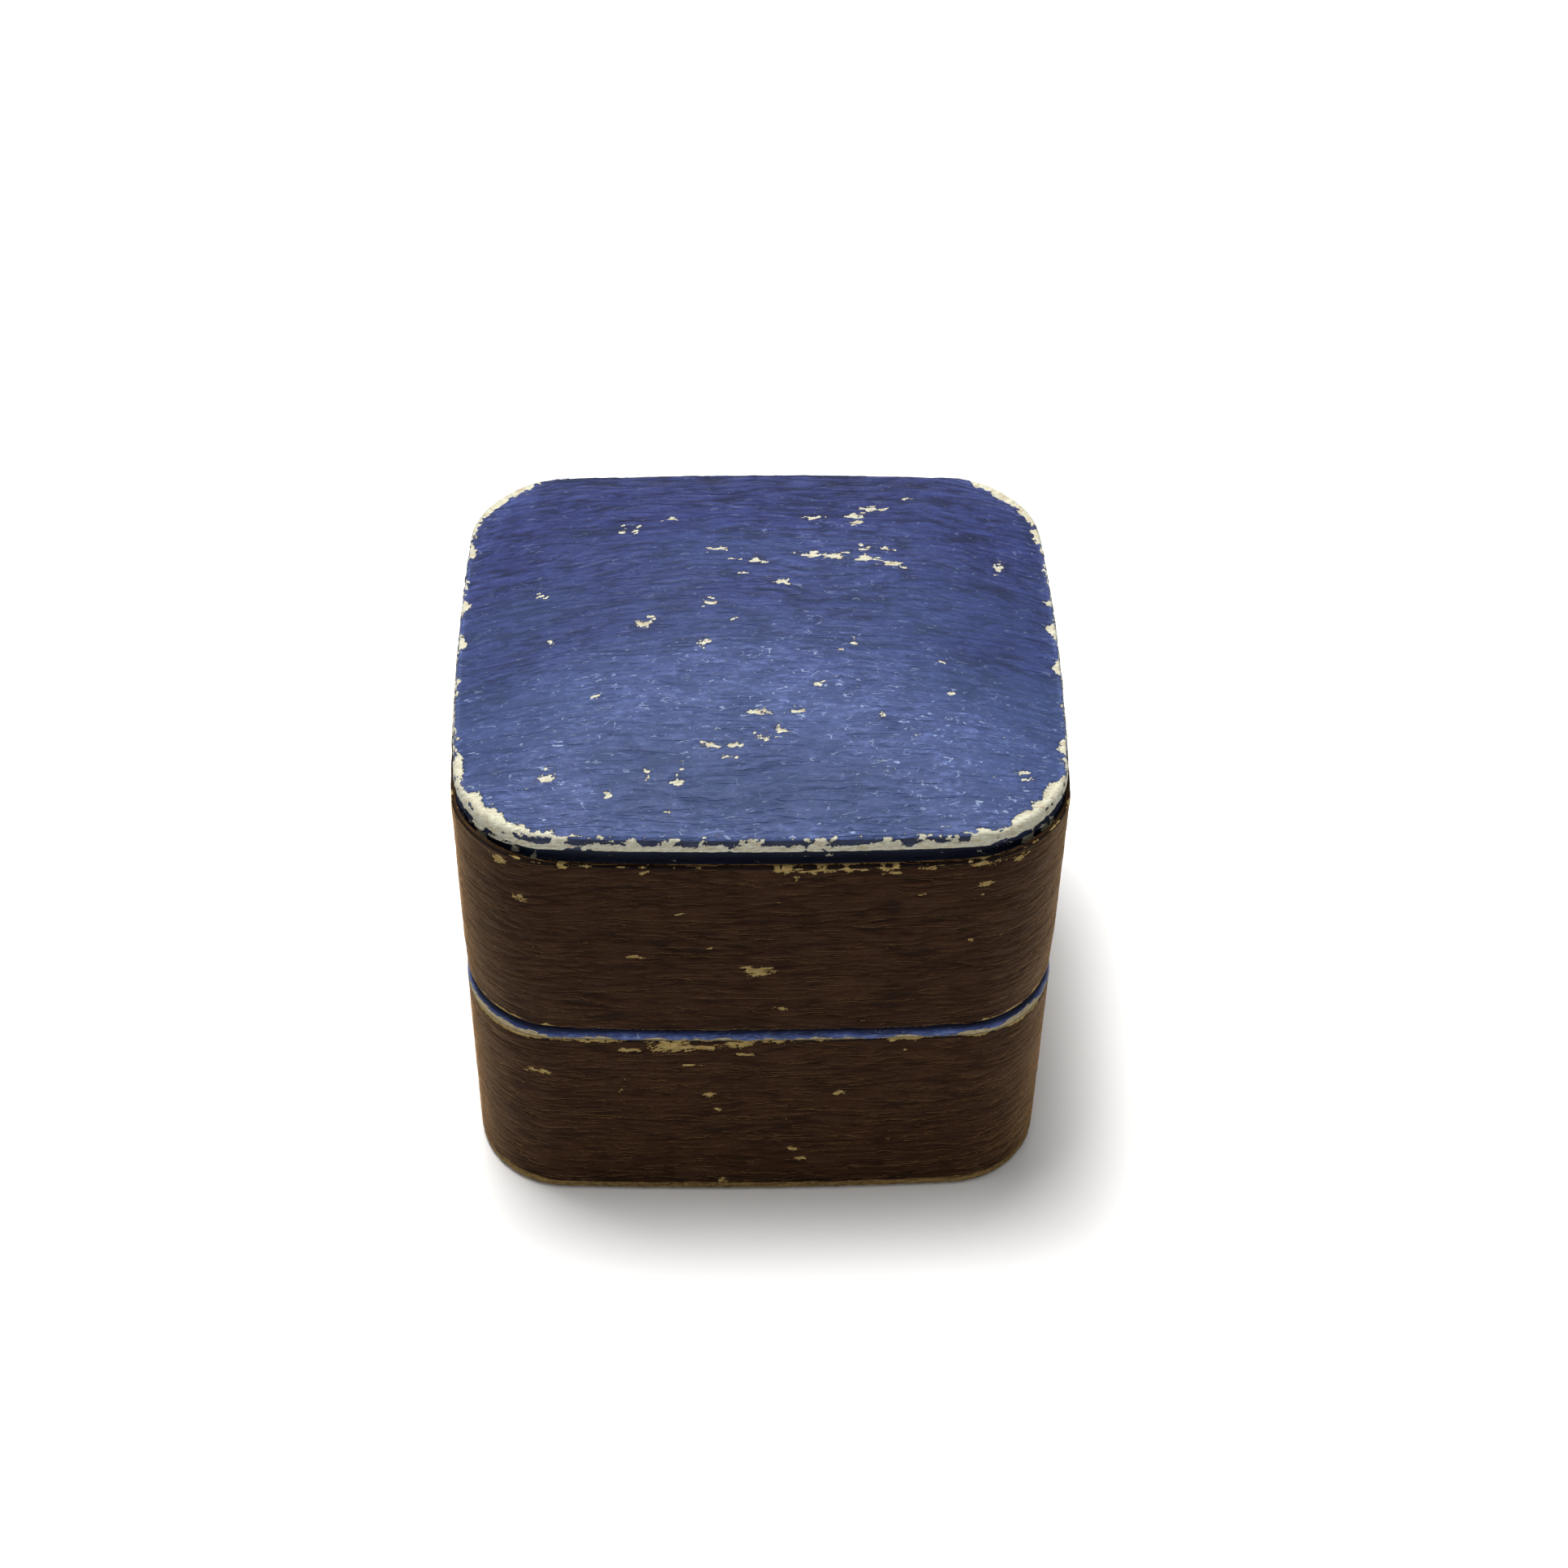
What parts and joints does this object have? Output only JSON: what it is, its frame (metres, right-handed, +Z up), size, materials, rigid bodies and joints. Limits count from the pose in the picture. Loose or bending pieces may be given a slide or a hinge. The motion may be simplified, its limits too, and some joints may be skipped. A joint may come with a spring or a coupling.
{
  "type": "jewelry gift box",
  "caption": "Small hinged jewelry box with a domed lid, covered wood walls, a standing inner collar and velvet ring pads that hold a ring upright.",
  "frame": {"origin": "middle of the underside, on the surface that the box stands on", "axes": "+Z up, +X to the right along the hinge, -Y towards the front where the lid opens, +Y towards the hinge"},
  "size_m": [0.05, 0.044, 0.0485],
  "materials": {
    "blue_leatherette": "long-grain, soft sheen, worn to cream at the edges",
    "brown_leatherette": "long-grain, soft sheen, flecked with small chips",
    "blue_velvet": "short pile",
    "ivory_satin": "smooth satin weave, yellowed with age",
    "wadding": "loose cotton",
    "bare_wood": "sawn, unfinished",
    "bare_board": "bare greyboard",
    "lining_paper": "dark matt paper",
    "aged_brass": "tarnished"
  },
  "bodies": {
    "base": {"base_bottom_paper": "lining_paper", "base_bottom_panel": "bare_board", "base_floor": "bare_wood", "base_wall": "bare_wood", "base_side_wrap": "brown_leatherette", "base_rim_strip": "blue_leatherette", "collar_card": "bare_board", "collar_velvet": "blue_velvet", "pad_board": "bare_board", "ring_pad_front": "blue_velvet", "ring_pad_back": "blue_velvet", "ring_wadding_front": "wadding", "ring_wadding_back": "wadding", "hinge_lower_leaf": "aged_brass", "hinge_pin": "aged_brass", "hinge_lower_nails": "aged_brass"},
    "lid": {"lid_wall": "bare_wood", "lid_side_wrap": "brown_leatherette", "lid_rim_strip": "blue_leatherette", "lid_top_board": "bare_wood", "lid_top_cover": "blue_leatherette", "lid_lining_card": "bare_board", "lid_lining_satin": "ivory_satin", "lid_pad_card": "bare_board", "lid_pad_wadding": "wadding", "lid_pad_satin": "ivory_satin", "hinge_upper_leaf": "aged_brass", "hinge_upper_nails": "aged_brass"}
  },
  "joints": [
    {"name": "lid_hinge", "type": "hinge", "parent": "base", "child": "lid", "pos_m": [0, 0.02075, 0.02205], "axis": [-1, 0, 0], "range_deg": [0, 98]}
  ]
}
